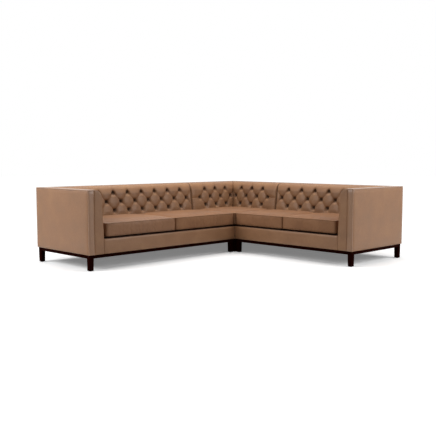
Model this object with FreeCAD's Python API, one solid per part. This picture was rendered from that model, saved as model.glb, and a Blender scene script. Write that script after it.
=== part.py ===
import FreeCAD, Part
import math
import os

from FreeCAD import Vector

# A leather corner sofa in three modules that hook together under the seat: a long module with an
# arm, a square corner module and a short module with an arm. Arms and back have one height. Their
# outside is a plain wall, and a diamond-tufted pad with covered buttons stands in front of the back.
# Loose seat cushions lie on a sprung deck, and each module stands on a stained plinth with four
# tapered legs. Lengths are in millimetres and angles in degrees.
#
# Row frame: +Z up, origin on the floor under the middle of the L's bounding box. The long wing runs
# along X with its back at +Y, and the short wing runs along Y with its back at +X.
#
# Each module is drawn in a bench frame of its own: u runs along the module from its outer end, v
# runs from the outer back face towards the sitter's knees, and z is the height above the floor.

# Whole sofa
LONG_WING = 2800.0
SHORT_WING = 2425.0
DEPTH = 900.0
HEIGHT = 740.0
MODULE_GAP = 2.0

# Legs, glides and plinth
LEG_HEIGHT = 115.0
LEG_TOP = 46.0
LEG_FOOT = 42.0
GLIDE_THICK = 3.0
GLIDE_RADIUS = 13.0
PLINTH_HEIGHT = 32.0
PLINTH_WIDTH = 50.0
PLINTH_INSET = 10.0
BOLT_RADIUS = 4.0
BOLT_IN_LEG = 55.0
BOLT_IN_FRAME = 48.0
BOLT_CLEARANCE = 0.2

# Upholstered shell
COVER = 12.0
COVER_EDGE = 3.0
WALL = 60.0
RAIL_HEIGHT = 137.0
ARM_FOOT = 166.0
ARM_SHOULDER = 150.0
ARM_ROLL = 80.0
ARM_SWELL = 22.0
DUST_COVER = 1.5
DUST_MARGIN = 2.0

# Timber frame, springs and deck
BOARD = 32.0
POST = 45.0
POST_PITCH = 620.0
TUFT_RAIL = 20.0
TUFT_RAIL_HEIGHT = 50.0
ARM_RAIL_HEIGHT = 50.0
STRETCHER_DROP = 20.0
STRETCHER_HEIGHT = 70.0
DECK_THICK = 14.0
CLIP_HEIGHT = 8.0
CLIP_LENGTH = 12.0
CLIP_WIDTH = 16.0
WIRE_RADIUS = 1.9
WIRE_CLEARANCE = 0.1
SPRING_RUN = 22.0
SPRING_BEND = 15.0
SPRING_SPACING = 140.0

# Tufted back pad. The buttons sit on a valley plane that leans back.
PAD_FOOT = 223.5
PAD_LEAN = 7.7
PAD_TOP_DROP = 10.0
PAD_ROLL = 50.0
LOW_ROW_HEIGHT = 480.0
ROW_PITCH = 93.0
PUFF = 28.0
PUFF_SINK = 5.0
PUFF_START = 12.0
PUFF_END = 6.0
VALLEY = 4.0
BUTTON_RADIUS = 11.0
BUTTON_HEIGHT = 6.0
BUTTON_ROUND = 3.0
BUTTON_ROOM = 15.0
ARM_PITCH = 186.5
ARM_SEAM_MARGIN = 79.0
CORNER_PITCH = 172.0
CORNER_FIRST = 247.0
PAD_CLEARANCE = 0.5

# Seat cushions
CUSHION_REAR_GAP = 5.5
CUSHION_ARM_GAP = 10.0
CUSHION_SET_BACK = 4.0
CUSHION_GAP = 3.0
CUSHION_LIFT = 0.3
CUSHION_LOW_CROWN = 24.0
CUSHION_BOX = 116.0
CUSHION_TOP_CROWN = 21.0
CUSHION_CORNER = 28.0
CUSHION_DRAW = 7.0
CUSHION_BULGE = 3.0

# Connectors that hold two modules together
TONGUE_THICK = 2.5
TONGUE_WIDTH = 40.0
TONGUE_REACH = 40.0
SOCKET_WALL = 2.5
SOCKET_PLAY = 0.8
SOCKET_FLANGE = 14.0
CONNECTOR_PLACES = (250.0, 650.0)
SCREW_RADIUS = 2.0
SCREW_LENGTH = 18.0
SCREW_HEAD_RADIUS = 4.2
SCREW_HEAD = 2.2
SCREW_CLEARANCE = 0.15

# Shares that shape the soft forms
CROWN_REACH = 0.34
CROWN_STATIONS = (0.0, 0.15, 0.45, 1.0)
CROWN_FULLNESS = 3
CORNER_GROWTH = 0.25
PUFF_STEEPEST = 0.2
PUFF_RIM = 0.35
PUFF_TOP_SHARE = 0.9
ROLL_STATIONS = (0.0, 1 / 3, 2 / 3, 1.0)
SWELL_STATIONS = ((0.0, 1.0), (0.5, 1.0), (0.8, 0.85), (0.93, 0.45), (1.0, 0.0))

# Heights and places that follow from the sizes above
BODY_BOTTOM = LEG_HEIGHT + PLINTH_HEIGHT
DECK_TOP = BODY_BOTTOM + RAIL_HEIGHT
FRAME_BOTTOM = BODY_BOTTOM + DUST_COVER
FRAME_TOP = DECK_TOP - DECK_THICK - CLIP_HEIGHT
SHELL_TOP = HEIGHT - COVER
TOP_RAIL_BOTTOM = SHELL_TOP - POST
CORNER_POST = WALL - COVER
LEG_CENTRE = PLINTH_INSET + LEG_TOP / 2
LONG_MODULE = LONG_WING - DEPTH - MODULE_GAP / 2
SHORT_MODULE = SHORT_WING - DEPTH - MODULE_GAP / 2
CORNER_SIDE = DEPTH - MODULE_GAP / 2
CUSHION_REAR = PAD_FOOT + CUSHION_REAR_GAP
LOW_SEAM = DECK_TOP + CUSHION_LIFT + CUSHION_LOW_CROWN
TOP_SEAM = LOW_SEAM + CUSHION_BOX
LEAN = math.radians(PAD_LEAN)
LOW_ROW = (LOW_ROW_HEIGHT - DECK_TOP) / math.cos(LEAN)
MID_ROW = LOW_ROW + ROW_PITCH
TOP_ROW = MID_ROW + ROW_PITCH
ROLL_HEIGHT = HEIGHT - PAD_TOP_DROP - PAD_ROLL
ROLL_START = (ROLL_HEIGHT + PAD_ROLL * math.sin(LEAN) - DECK_TOP) / math.cos(LEAN)
ROLL_CENTRE = PAD_FOOT - ROLL_START * math.sin(LEAN) - PAD_ROLL * math.cos(LEAN)
ROLL_END = ROLL_START + (math.pi / 2 - LEAN) * PAD_ROLL
PAD_END = ROLL_END + ROLL_CENTRE - WALL - PUFF_END


# Helpers
def box(u0, u1, v0, v1, z0, z1):
    return Part.makeBox(u1 - u0, v1 - v0, z1 - z0, Vector(u0, v0, z0))


def panel(u0, u1, v0, v1, z0, z1):
    """A padded leather panel: a plate with all its edges rolled."""
    plate = box(u0, u1, v0, v1, z0, z1)
    return plate.makeFillet(COVER_EDGE, plate.Edges)


def rod(radius, foot, length, axis=Vector(0, 0, 1)):
    return Part.makeCylinder(radius, length, foot, axis)


def line(a, b):
    return Part.LineSegment(a, b).toShape()


def arc(a, middle, b):
    return Part.Arc(a, middle, b).toShape()


def prism(wire, along):
    return Part.Face(wire).extrude(along)


def loft(rings):
    """A solid through a row of rings, each a list of edges, ruled straight from ring to ring."""
    faces = [Part.Face(Part.Wire(ring)) for ring in (rings[0], rings[-1])]
    for ring, next_ring in zip(rings, rings[1:]):
        faces += [Part.makeRuledSurface(a, b) for a, b in zip(ring, next_ring)]
    shell = Part.makeShell(faces)
    shell.sewShape()
    return Part.makeSolid(shell)


def between(w, knots):
    """The value at w on the straight runs between (place, value) knots."""
    if w <= knots[0][0]:
        return knots[0][1]
    for (w0, value0), (w1, value1) in zip(knots, knots[1:]):
        if w <= w1:
            return value0 + (value1 - value0) * (w - w0) / (w1 - w0)
    return knots[-1][1]


def bored(solids, holes):
    return [solid.cut(holes) for solid in solids]


# Legs, glides, bolts and plinth
def leg_places(length, width):
    """Centres of the four legs under a module of this length and width."""
    ends = (LEG_CENTRE, length - LEG_CENTRE)
    sides = (LEG_CENTRE, width - LEG_CENTRE)
    return [(u, v) for u in ends for v in sides]


def leg_bolt(place, grow=0.0):
    foot = Vector(place[0], place[1], LEG_HEIGHT - BOLT_IN_LEG)
    length = BOLT_IN_LEG + PLINTH_HEIGHT + DUST_COVER + BOLT_IN_FRAME
    return rod(BOLT_RADIUS + grow, foot, length + grow)


def leg_bolts(length, width):
    return [leg_bolt(place) for place in leg_places(length, width)]


def bolt_holes(length, width):
    return [leg_bolt(place, BOLT_CLEARANCE) for place in leg_places(length, width)]


def square_ring(u, v, z, side):
    half = side / 2
    turns = ((-1, -1), (1, -1), (1, 1), (-1, 1), (-1, -1))
    return Part.makePolygon([Vector(u + a * half, v + b * half, z) for a, b in turns])


def legs(length, width):
    """Square legs that narrow evenly towards the floor, bored for their hanger bolts."""
    solids = []
    for u, v in leg_places(length, width):
        foot = square_ring(u, v, GLIDE_THICK, LEG_FOOT)
        top = square_ring(u, v, LEG_HEIGHT, LEG_TOP)
        solids.append(Part.makeLoft([foot, top], True, True))
    return bored(solids, bolt_holes(length, width))


def leg_glides(length, width):
    return [rod(GLIDE_RADIUS, Vector(u, v, 0), GLIDE_THICK) for u, v in leg_places(length, width)]


def plinth_rails(length, width, holes):
    """Two long rails with two short ones between them, set back under the upholstery."""
    low, high = LEG_HEIGHT, BODY_BOTTOM
    near, far = PLINTH_INSET, PLINTH_INSET + PLINTH_WIDTH
    rails = [
        box(near, length - near, near, far, low, high),
        box(near, length - near, width - far, width - near, low, high),
        box(near, far, far, width - far, low, high),
        box(length - far, length - near, far, width - far, low, high),
    ]
    return bored(rails, bolt_holes(length, width) + holes)


def dust_cover(length, width):
    """The thin black cloth under the frame, gripped between the frame and the plinth."""
    margin = COVER + DUST_MARGIN
    cloth = box(margin, length - margin, margin, width - margin, BODY_BOTTOM, FRAME_BOTTOM)
    return bored([cloth], bolt_holes(length, width))


# Seat frame, springs and deck
def seat_frame(length, width):
    """Four rails on edge with a stretcher across the middle."""
    low, high = FRAME_BOTTOM, FRAME_TOP
    near, far = WALL, WALL + BOARD
    end, end_in = length - COVER, length - COVER - BOARD
    front, front_in = width - COVER, width - COVER - BOARD
    middle = (far + end_in) / 2
    top = high - STRETCHER_DROP
    boards = [
        box(near, end, near, far, low, high),
        box(near, end, front_in, front, low, high),
        box(near, far, far, front_in, low, high),
        box(end_in, end, far, front_in, low, high),
        box(middle - BOARD / 2, middle + BOARD / 2, far, front_in, top - STRETCHER_HEIGHT, top),
    ]
    return bored(boards, bolt_holes(length, width))


def spring_wire(v0, v1, z):
    """A flat zigzag spring about u = 0: straight runs across, joined by half loops at their ends."""
    count = int((v1 - v0) // (2 * SPRING_BEND))
    step = (v1 - v0) / count
    bend = step / 2
    slant = bend * math.sqrt(0.5)
    side = 1
    edges = []
    for i in range(count + 1):
        u, v = side * SPRING_RUN / 2, v0 + i * step
        edges.append(line(Vector(-u, v, z), Vector(u, v, z)))
        if i < count:
            out = Vector(u + side * bend, v + bend, z)
            edges.append(arc(Vector(u, v, z), Vector(u + side * slant, v + bend - slant, z), out))
            edges.append(arc(out, Vector(u + side * slant, v + bend + slant, z), Vector(u, v + step, z)))
        side = -side
    start = Vector(-SPRING_RUN / 2, v0, z)
    ring = Part.Wire(Part.makeCircle(WIRE_RADIUS, start, Vector(1, 0, 0)))
    return Part.Wire(edges).makePipeShell([ring], True, False)


def spring_clip(v, z):
    """A steel clip on the rail that holds a spring's end run."""
    half_width, half_length = CLIP_WIDTH / 2, CLIP_LENGTH / 2
    top = FRAME_TOP + CLIP_HEIGHT
    block = box(-half_width, half_width, v - half_length, v + half_length, FRAME_TOP, top)
    bore = rod(WIRE_RADIUS + WIRE_CLEARANCE, Vector(-half_width, v, z), CLIP_WIDTH, Vector(1, 0, 0))
    return block.cut(bore)


def seat_springs(length, width):
    rear, front = WALL + BOARD / 2, width - COVER - BOARD / 2
    z = FRAME_TOP + CLIP_HEIGHT / 2
    low = WALL + BOARD
    span = length - COVER - BOARD - low
    count = int(span // SPRING_SPACING)
    models = [spring_wire(rear, front, z), spring_clip(rear, z), spring_clip(front, z)]
    places = [low + (i + 0.5) * span / count for i in range(count)]
    return [model.translated(Vector(u, 0, 0)) for u in places for model in models]


def seat_deck(length, width):
    return [box(WALL, length - COVER, WALL, width - COVER, DECK_TOP - DECK_THICK, DECK_TOP)]


# Timber of the back and the arm
def back_frame(start, length, holes):
    """Posts, a top rail, and a rail behind each row of buttons in every bay."""
    last = length - COVER - CORNER_POST
    bays = max(1, round((last - start) / POST_PITCH))
    places = [start + i * (last - start) / bays for i in range(bays + 1)]
    timbers = [box(start, length - COVER, COVER, WALL, TOP_RAIL_BOTTOM, SHELL_TOP)]
    for u in places:
        timbers.append(box(u, u + CORNER_POST, COVER, WALL, FRAME_BOTTOM, TOP_RAIL_BOTTOM))
    for left, right in zip(places, places[1:]):
        for row in (LOW_ROW, MID_ROW, TOP_ROW):
            z = pad_point(row, 0.0)[1]
            low = z - TUFT_RAIL_HEIGHT / 2
            high = min(z + TUFT_RAIL_HEIGHT / 2, TOP_RAIL_BOTTOM)
            timbers.append(box(left + CORNER_POST, right, WALL - TUFT_RAIL, WALL, low, high))
    return bored(timbers, holes)


def arm_frame(width, holes):
    """Front post, top rail, a rail at seat level and one upright between them."""
    front = width - COVER
    middle = (WALL + front - POST) / 2
    rail_top = DECK_TOP + ARM_RAIL_HEIGHT
    timbers = [
        box(COVER, WALL, front - POST, front, FRAME_BOTTOM, TOP_RAIL_BOTTOM),
        box(COVER, WALL, WALL, front, TOP_RAIL_BOTTOM, SHELL_TOP),
        box(WALL - BOARD, WALL, WALL, front - POST, DECK_TOP, rail_top),
        box(COVER, WALL, middle - POST / 2, middle + POST / 2, rail_top, TOP_RAIL_BOTTOM),
    ]
    return bored(timbers, holes)


# Arm upholstery
def arm_outline(v, swell):
    """Outline of the inner arm above the deck at one v: a leaning side and a rolled shoulder."""
    shoulder = ARM_SHOULDER + swell
    middle = Vector(shoulder - ARM_ROLL, v, HEIGHT - ARM_ROLL)
    slant = ARM_ROLL * math.sqrt(0.5)
    inner, foot = Vector(WALL, v, DECK_TOP), Vector(ARM_FOOT + swell, v, DECK_TOP)
    side, top = middle + Vector(ARM_ROLL, 0, 0), middle + Vector(0, 0, ARM_ROLL)
    back = Vector(WALL, v, HEIGHT)
    roll = arc(side, middle + Vector(slant, 0, slant), top)
    return Part.Wire([line(inner, foot), line(foot, side), roll, line(top, back), line(back, inner)])


def arm_surface(z):
    """How far the swollen inner arm stands from the arm's outer face at a height."""
    over = z - (HEIGHT - ARM_ROLL)
    if over <= 0:
        return ARM_SWELL + between(z, [(DECK_TOP, ARM_FOOT), (HEIGHT - ARM_ROLL, ARM_SHOULDER)])
    return ARM_SWELL + ARM_SHOULDER - ARM_ROLL + math.sqrt(max(0.0, ARM_ROLL**2 - over**2))


def arm_facing(width):
    """The padded panel that closes the front of the inner arm, with its front edge rolled."""
    back = width - COVER
    foot = box(WALL, ARM_FOOT, back, width, BODY_BOTTOM, DECK_TOP)
    plate = foot.fuse(prism(arm_outline(back, 0.0), Vector(0, COVER, 0))).removeSplitter().Solids[0]
    front = [edge for edge in plate.Edges if all(abs(p.Y - width) < COVER_EDGE for p in edge.Vertexes)]
    return [plate.makeFillet(COVER_EDGE, front)]


def inside_arm(width):
    """The smooth inner pad of the arm, which swells behind its facing."""
    run = width - COVER - WALL
    outlines = [arm_outline(WALL + share * run, ARM_SWELL * part) for share, part in SWELL_STATIONS]
    return [Part.makeLoft(outlines, True, True)]


# Tufted back pad. w runs up the leaning valley plane from the deck and on round the rolled top.
def pad_point(w, n):
    """The (v, z) of a point at w along the face of the pad and n out from it."""
    if w <= ROLL_START:
        v = PAD_FOOT - w * math.sin(LEAN) + n * math.cos(LEAN)
        return v, DECK_TOP + w * math.cos(LEAN) + n * math.sin(LEAN)
    angle = min(LEAN + (w - ROLL_START) / PAD_ROLL, math.pi / 2)
    flat = max(0.0, w - ROLL_END)
    v = ROLL_CENTRE + (PAD_ROLL + n) * math.cos(angle) - flat
    return v, ROLL_HEIGHT + (PAD_ROLL + n) * math.sin(angle)


def pad_slab(u0, u1):
    """The plain pad under the tufts, from the wall to the valley plane, with a rolled top."""
    rear, foot = Vector(u0, WALL, DECK_TOP), Vector(u0, PAD_FOOT, DECK_TOP)
    start = Vector(u0, *pad_point(ROLL_START, 0.0))
    bend = Vector(u0, *pad_point((ROLL_START + ROLL_END) / 2, 0.0))
    end = Vector(u0, *pad_point(ROLL_END, 0.0))
    top = Vector(u0, WALL, end.z)
    edges = [line(rear, foot), line(foot, start), arc(start, bend, end), line(end, top), line(top, rear)]
    return prism(Part.Wire(edges), Vector(u1 - u0, 0, 0))


def puff(stations, left, right, height):
    """One stuffed tuft between two pleats: arcs over the valley plane, with their feet in the pad."""
    rings = []
    for w in stations:
        u0, u1 = left(w) + VALLEY / 2, right(w) - VALLEY / 2
        crown = min(height(w), PUFF_STEEPEST * (u1 - u0))
        a, b = Vector(u0, *pad_point(w, 0.0)), Vector(u1, *pad_point(w, 0.0))
        deep_a, deep_b = Vector(u0, *pad_point(w, -PUFF_SINK)), Vector(u1, *pad_point(w, -PUFF_SINK))
        top = Vector((u0 + u1) / 2, *pad_point(w, crown))
        rings.append([line(deep_a, a), arc(a, top, b), line(b, deep_b), line(deep_b, deep_a)])
    return loft(rings)


def pleat(knots):
    """A pleat as u against w, from its (distance from the middle row, u) knots."""
    return lambda w: between(abs(w - MID_ROW), knots)


def pleat_past(mid, button, side):
    """From a middle button out to the next row's button, round both, and straight on from there."""
    room = BUTTON_ROOM
    knots = [(room, mid + side * room), (ROW_PITCH - room, button - side * room)]
    return pleat(knots + [(ROW_PITCH + room, button - side * room), (ROW_PITCH + 2 * room, button)])


def pleat_past_split(mid, button, side):
    """The same, for a tuft that reaches past its middle button to a level pleat on the other side."""
    room = BUTTON_ROOM
    knots = [(0.0, mid - side * (room + BUTTON_RADIUS)), (2 * room, mid + side * room)]
    knots += [(ROW_PITCH - room, button - side * room), (ROW_PITCH + room, button - side * room)]
    return pleat(knots + [(ROW_PITCH + 2 * room, button)])


def pleat_to_edge(mid, edge, side):
    """From a middle button out to the end of the pad, and along that end."""
    def at(w):
        knots = [(BUTTON_ROOM, mid + side * BUTTON_ROOM), (ROW_PITCH, edge(w))]
        return between(abs(w - MID_ROW), knots)
    return at


def diamond_side(mid, tip, side):
    """From the next rows' button at a diamond's tip out to a middle button, round both."""
    room = BUTTON_ROOM
    return pleat([(room, mid - side * room), (ROW_PITCH - room, tip + side * room)])


def diamond_height(w):
    return PUFF * (1 - PUFF_RIM * ((w - MID_ROW) / ROW_PITCH) ** 2)


def tall_height(w):
    """Height of an upper or a lower tuft: low at its tip, thin over the top and behind the cushions."""
    rise = min(1.0, abs(w - MID_ROW) / ROW_PITCH)
    height = PUFF * (PUFF_RIM + (1 - PUFF_RIM) * math.sin(rise * math.pi / 2))
    thin = PAD_TOP_DROP * PUFF_TOP_SHARE
    over = between(w, [(TOP_ROW, PUFF), (ROLL_END, thin), (PAD_END, thin / 2)])
    behind = (CUSHION_REAR - PAD_CLEARANCE - pad_point(w, 0.0)[0]) / math.cos(LEAN)
    return min(height, over, behind)


def tufts(mids, pitch, low_edge, high_edge, split):
    """All tufts of one pad. Half a diamond stands at each end, but where the high end is split, a
    level pleat parts its last two tufts instead."""
    room = BUTTON_ROOM
    half = ROW_PITCH / 2
    roll = [ROLL_START + (ROLL_END - ROLL_START) * share for share in ROLL_STATIONS]
    last = len(mids) - 1
    solids = []
    for i, mid in enumerate(mids):
        split_here = split and i == last
        past = pleat_past_split if split_here else pleat_past
        left, right = past(mid, mid - pitch / 2, -1), past(mid, mid + pitch / 2, 1)
        if i == 0:
            left = pleat_to_edge(mid, low_edge, -1)
        if i == last:
            right = high_edge if split else pleat_to_edge(mid, high_edge, 1)
        first = [VALLEY / 2, 2 * room] if split_here else [room]
        rise = first + [half, ROW_PITCH - room, ROW_PITCH + room]
        above = [MID_ROW + d for d in rise if MID_ROW + d < ROLL_START]
        below = [MID_ROW - d for d in rise] + [LOW_ROW - 2 * room, LOW_ROW / 2, PUFF_START]
        solids.append(puff(above + roll + [PAD_END], left, right, tall_height))
        solids.append(puff(below, left, right, tall_height))
    rise = [-ROW_PITCH + room, -half, -room, room, half, ROW_PITCH - room]
    stations = [MID_ROW + d for d in rise]
    for mid in mids[:-1]:
        tip = mid + pitch / 2
        left, right = diamond_side(mid, tip, -1), diamond_side(mid + pitch, tip, 1)
        solids.append(puff(stations, left, right, diamond_height))
    side = diamond_side(mids[0], low_edge(MID_ROW), 1)
    solids.append(puff(stations, low_edge, side, diamond_height))
    if not split:
        side = diamond_side(mids[-1], high_edge(MID_ROW), -1)
        solids.append(puff(stations, side, high_edge, diamond_height))
    return solids


def back_buttons(mids, pitch):
    """Covered buttons: domed discs on the valley plane, in three rows."""
    places = [(u, MID_ROW) for u in mids]
    places += [(u + pitch / 2, w) for u in mids[:-1] for w in (LOW_ROW, TOP_ROW)]
    normal = Vector(0, math.cos(LEAN), math.sin(LEAN))
    solids = []
    for u, w in places:
        disc = rod(BUTTON_RADIUS, Vector(u, *pad_point(w, 0.0)), BUTTON_HEIGHT, normal)
        face = max(disc.Faces, key=lambda f: f.CenterOfMass.dot(normal))
        solids.append(disc.makeFillet(BUTTON_ROUND, face.Edges))
    return solids


def arm_mids(length):
    """Middle row of an arm module, counted from the seam and sorted from the arm."""
    room = length - ARM_SEAM_MARGIN - (ARM_FOOT + ARM_SWELL + 2 * BUTTON_ROOM)
    count = int(room // ARM_PITCH) + 1
    return [length - ARM_SEAM_MARGIN - i * ARM_PITCH for i in reversed(range(count))]


def corner_mids():
    room = CORNER_SIDE - CORNER_FIRST - 2 * BUTTON_ROOM
    return [CORNER_FIRST + i * CORNER_PITCH for i in range(int(room // CORNER_PITCH) + 1)]


def arm_inside_back(length):
    """The tufted pad of an arm module, cut to the shape of the arm pad beside it."""
    def arm_edge(w):
        return arm_surface(pad_point(w, -PUFF_SINK)[1]) + PAD_CLEARANCE

    arm = prism(arm_outline(0.0, ARM_SWELL + PAD_CLEARANCE), Vector(0, DEPTH, 0))
    slab = pad_slab(WALL, length).cut(arm)
    solids = tufts(arm_mids(length), ARM_PITCH, arm_edge, lambda w: length, False)
    return [slab.fuse(solids)]


def corner_inside_back():
    """One of the corner's two tufted pads, cut on the mitre where they meet."""
    def mitre_edge(w):
        return pad_point(w, 0.0)[0]

    far = 2 * CORNER_SIDE
    clear = PAD_CLEARANCE / 2
    corners = [Vector(clear, 0, 0), Vector(far + clear, far, 0), Vector(-far, far, 0), Vector(-far, 0, 0)]
    beyond = prism(Part.makePolygon(corners + corners[:1]), Vector(0, 0, 2 * HEIGHT))
    slab = pad_slab(WALL, CORNER_SIDE).cut(beyond)
    solids = tufts(corner_mids(), CORNER_PITCH, mitre_edge, lambda w: CORNER_SIDE, True)
    return slab.fuse(solids)


# Seat cushions
def cushion_outline(u0, u1, v0, v1, z, inset, draw):
    """A rectangle with rounded corners, whose sides are drawn in towards the middle."""
    u0, u1, v0, v1 = u0 + inset, u1 - inset, v0 + inset, v1 - inset
    r = CUSHION_CORNER + CORNER_GROWTH * inset
    cut = r * (1 - math.sqrt(0.5))
    mid_u, mid_v = (u0 + u1) / 2, (v0 + v1) / 2
    corners = [(u0, v0, 1, 1), (u1, v0, -1, 1), (u1, v1, -1, -1), (u0, v1, 1, -1)]
    middles = [(mid_u, v0 + draw), (u1 - draw, mid_v), (mid_u, v1 - draw), (u0 + draw, mid_v)]
    edges = []
    for i, (u, v, a, b) in enumerate(corners):
        next_u, next_v, next_a, next_b = corners[(i + 1) % 4]
        level = i % 2 == 0
        enter = Vector(u, v + b * r, z) if level else Vector(u + a * r, v, z)
        leave = Vector(u + a * r, v, z) if level else Vector(u, v + b * r, z)
        end = Vector(next_u + next_a * r, next_v, z) if level else Vector(next_u, next_v + next_b * r, z)
        edges.append(arc(enter, Vector(u + a * cut, v + b * cut, z), leave))
        edges.append(arc(leave, Vector(*middles[i], z), end))
    return Part.Wire(edges)


def cushion(u0, u1, v0, v1):
    """A boxed cushion: a band that bulges a little between two seams, and a crown on each side."""
    reach = CROWN_REACH * min(u1 - u0, v1 - v0)
    crowns = []
    for seam, rise in ((LOW_SEAM, -CUSHION_LOW_CROWN), (TOP_SEAM, CUSHION_TOP_CROWN)):
        rings = []
        for share in CROWN_STATIONS:
            z = seam + rise * (1 - (1 - share) ** CROWN_FULLNESS)
            rings.append(cushion_outline(u0, u1, v0, v1, z, share * reach, CUSHION_DRAW))
        crowns.append(Part.makeLoft(rings, True, False))
    middle = (LOW_SEAM + TOP_SEAM) / 2
    levels = ((LOW_SEAM, 0.0), (middle, CUSHION_BULGE), (TOP_SEAM, 0.0))
    rings = [cushion_outline(u0, u1, v0, v1, z, 0.0, CUSHION_DRAW - bulge) for z, bulge in levels]
    return Part.makeLoft(rings, True, False).fuse(crowns)


def arm_cushions(length):
    """The two cushions of an arm module, the one by the arm first."""
    start = ARM_FOOT + ARM_SWELL + CUSHION_ARM_GAP
    end = length - (CUSHION_GAP - MODULE_GAP) / 2
    middle = (start + end) / 2
    front = DEPTH - CUSHION_SET_BACK
    half = CUSHION_GAP / 2
    spans = ((start, middle - half), (middle + half, end))
    return [cushion(low, high, CUSHION_REAR, front) for low, high in spans]


def corner_cushion():
    end = CORNER_SIDE - (CUSHION_GAP - MODULE_GAP) / 2
    return cushion(CUSHION_REAR, end, CUSHION_REAR, end)


# Connectors: steel tongues under the arm modules, which slide into sockets under the corner
def screw(u, v, top):
    """A screw driven up from below, with its head under the plate whose lower face is at top."""
    foot = Vector(u, v, top - SCREW_HEAD)
    head = rod(SCREW_HEAD_RADIUS, foot, SCREW_HEAD)
    return head.fuse(rod(SCREW_RADIUS, foot, SCREW_LENGTH)).removeSplitter()


def screw_hole(u, v, top):
    """The hole of a screw, a little wider and deeper than its shank."""
    foot = Vector(u, v, top - SCREW_HEAD)
    return rod(SCREW_RADIUS + SCREW_CLEARANCE, foot, SCREW_LENGTH + SCREW_CLEARANCE)


def tongue_screw_places(length):
    middle = length - PLINTH_INSET - PLINTH_WIDTH / 2
    return [(middle, v + side * TONGUE_WIDTH / 4) for v in CONNECTOR_PLACES for side in (-1, 1)]


def tongues(length):
    low, high = LEG_HEIGHT - TONGUE_THICK, LEG_HEIGHT
    start = length - PLINTH_INSET - PLINTH_WIDTH
    half = TONGUE_WIDTH / 2
    plates = [box(start, length + TONGUE_REACH, v - half, v + half, low, high) for v in CONNECTOR_PLACES]
    places = tongue_screw_places(length)
    screws = [screw(u, v, low) for u, v in places]
    return bored(plates, [screw_hole(u, v, low) for u, v in places]) + screws


def tongue_holes(length):
    low = LEG_HEIGHT - TONGUE_THICK
    return [screw_hole(u, v, low) for u, v in tongue_screw_places(length)]


def socket_screw_places():
    """Screws in both flanges of each socket on the side of the corner module that faces along u."""
    middle = CORNER_SIDE - PLINTH_INSET - PLINTH_WIDTH / 2
    out = TONGUE_WIDTH / 2 + SOCKET_PLAY + SOCKET_WALL + SOCKET_FLANGE / 2
    return [(middle, v + side * out) for v in CONNECTOR_PLACES for side in (-1, 1)]


def sockets():
    """Pressed steel channels with a flange on each side, open towards the neighbouring module."""
    end = CORNER_SIDE - PLINTH_INSET
    start = end - PLINTH_WIDTH
    inner = TONGUE_WIDTH / 2 + SOCKET_PLAY
    outer = inner + SOCKET_WALL
    floor = LEG_HEIGHT - TONGUE_THICK - SOCKET_PLAY
    flange = LEG_HEIGHT - SOCKET_WALL
    places = socket_screw_places()
    plates = []
    for v in CONNECTOR_PLACES:
        channel = box(start, end, v - outer, v + outer, floor - SOCKET_WALL, LEG_HEIGHT)
        wings = box(start, end, v - outer - SOCKET_FLANGE, v + outer + SOCKET_FLANGE, flange, LEG_HEIGHT)
        hollow = box(start, end, v - inner, v + inner, floor, LEG_HEIGHT)
        plates.append(channel.fuse(wings).cut(hollow).removeSplitter())
    screws = [screw(u, v, flange) for u, v in places]
    return bored(plates, [screw_hole(u, v, flange) for u, v in places]) + screws


def socket_holes():
    flange = LEG_HEIGHT - SOCKET_WALL
    return [screw_hole(u, v, flange) for u, v in socket_screw_places()]


# Modules in their bench frames
def swapped(shape):
    """The shape with u and v exchanged."""
    return shape.mirror(Vector(0, 0, 0), Vector(1, -1, 0))


def both_ways(solids):
    return solids + [swapped(solid) for solid in solids]


def arm_module(length):
    front = DEPTH - COVER
    holes = bolt_holes(length, DEPTH)
    return {
        "plinth_rails": plinth_rails(length, DEPTH, tongue_holes(length)),
        "legs": legs(length, DEPTH),
        "leg_glides": leg_glides(length, DEPTH),
        "leg_bolts": leg_bolts(length, DEPTH),
        "seat_frame": seat_frame(length, DEPTH),
        "back_frame": back_frame(COVER, length, holes),
        "arm_frame": arm_frame(DEPTH, holes),
        "seat_springs": seat_springs(length, DEPTH),
        "seat_deck": seat_deck(length, DEPTH),
        "front_rail_cover": [panel(ARM_FOOT, length, front, DEPTH, BODY_BOTTOM, DECK_TOP)],
        "outside_back": [panel(COVER, length, 0, COVER, BODY_BOTTOM, SHELL_TOP)],
        "outside_arm": [panel(0, COVER, 0, front, BODY_BOTTOM, SHELL_TOP)],
        "border_band": [
            panel(0, length, 0, WALL, SHELL_TOP, HEIGHT),
            panel(0, WALL, WALL, DEPTH, SHELL_TOP, HEIGHT),
            panel(0, WALL, front, DEPTH, BODY_BOTTOM, SHELL_TOP),
        ],
        "arm_facing": arm_facing(DEPTH),
        "inside_arm": inside_arm(DEPTH),
        "inside_back": arm_inside_back(length),
        "back_buttons": back_buttons(arm_mids(length), ARM_PITCH),
        "end_panel": [
            panel(length - COVER, length, COVER, front, BODY_BOTTOM, DECK_TOP),
            panel(length - COVER, length, COVER, WALL, DECK_TOP, SHELL_TOP),
        ],
        "dust_cover": dust_cover(length, DEPTH),
        "connector_tongues": tongues(length),
    }


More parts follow.
